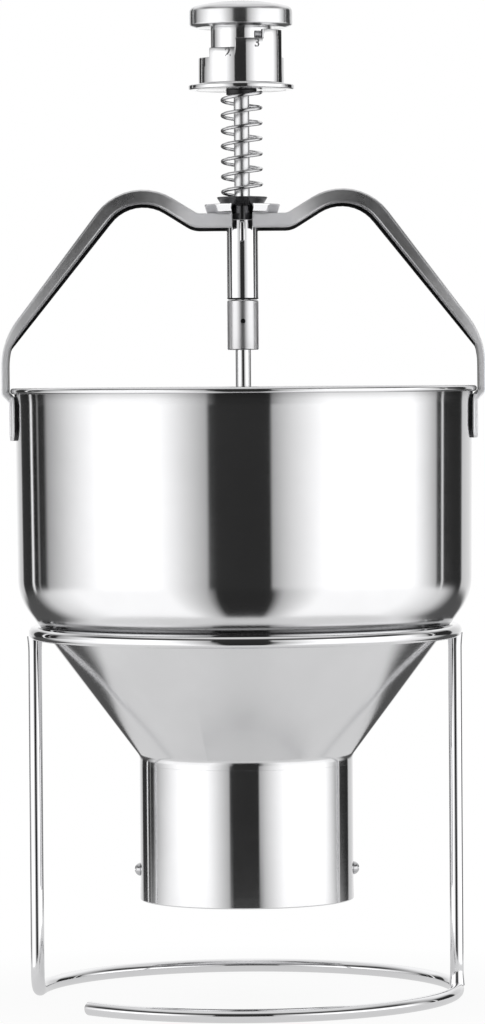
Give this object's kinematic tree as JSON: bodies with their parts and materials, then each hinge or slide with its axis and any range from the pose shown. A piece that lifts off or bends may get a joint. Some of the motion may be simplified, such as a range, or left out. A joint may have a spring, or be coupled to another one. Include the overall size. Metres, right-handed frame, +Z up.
{
  "type": "donut dropper",
  "caption": "Hand batter dropper for ring doughnuts: steel hopper with round outlet, arched handle, sprung plunger, stepped dose collar and knob, in a wire stand.",
  "frame": {"origin": "on the floor, under the middle of the hopper", "axes": "+Z up along the plunger, +X to the right seen from the front, -Y to the front"},
  "size_m": [0.248, 0.24, 0.5129],
  "materials": {
    "stand_wire": "bright polished stainless wire",
    "hopper_steel": "polished stainless sheet with faint turning lines",
    "handle_steel": "pressed and tumbled stainless strap",
    "dark_steel": "dark turned steel",
    "rod_steel": "turned and polished stainless bar",
    "spring_steel": "bright spring wire",
    "knob_chrome": "mirror polished",
    "fastener_steel": "plain stainless fasteners",
    "piston_plastic": "turned white food-grade plastic",
    "seal_rubber": "soft food-grade seal"
  },
  "bodies": {
    "stand": {"stand_top_ring": "stand_wire", "stand_base_wire": "stand_wire", "stand_right_leg": "stand_wire"},
    "hopper": {"hopper_bowl": "hopper_steel", "outlet_tube": "hopper_steel", "handle_bridge": "handle_steel", "thrust_plate": "rod_steel", "guide_sleeve": "rod_steel", "guide_key": "rod_steel", "lower_spring_seat": "dark_steel", "return_spring": "spring_steel", "nozzle_cone": "hopper_steel", "nozzle_gasket": "seal_rubber", "nozzle_screws": "fastener_steel", "nozzle_nuts": "fastener_steel"},
    "plunger": {"plunger_rod": "rod_steel", "stop_collar": "rod_steel", "stop_pin": "fastener_steel", "knob_cap": "knob_chrome", "knob_neck": "knob_chrome", "knob_nut": "fastener_steel", "dose_pin": "fastener_steel", "piston": "piston_plastic", "piston_ring": "seal_rubber", "piston_nut": "fastener_steel", "spacer_tube": "rod_steel", "forming_disc": "rod_steel", "disc_nut": "fastener_steel"},
    "spring_seat": {"upper_spring_seat": "knob_chrome"},
    "collar": {"dose_collar": "knob_chrome"}
  },
  "joints": [
    {"name": "hopper_lift", "type": "slide", "parent": "stand", "child": "hopper", "axis": [0, 0, 1], "range_m": [0, 0.15]},
    {"name": "plunger_press", "type": "slide", "parent": "hopper", "child": "plunger", "axis": [0, 0, -1], "range_m": [0, 0.02], "stiffness_N_per_m": 400, "springref_m": -0.03, "deforming": ["return_spring"]},
    {"name": "collar_drop", "type": "slide", "parent": "plunger", "child": "spring_seat", "axis": [0, 0, -1], "range_m": [0, 0.0159], "deforming": ["return_spring"]},
    {"name": "dose_turn", "type": "hinge", "parent": "spring_seat", "child": "collar", "pos_m": [0, 0, 0.47], "axis": [0, 0, -1], "range_deg": [0, 232]}
  ],
  "couplings": [
    {"joint": "collar_drop", "follows": "dose_turn", "m_per_rad": 0.003891}
  ]
}
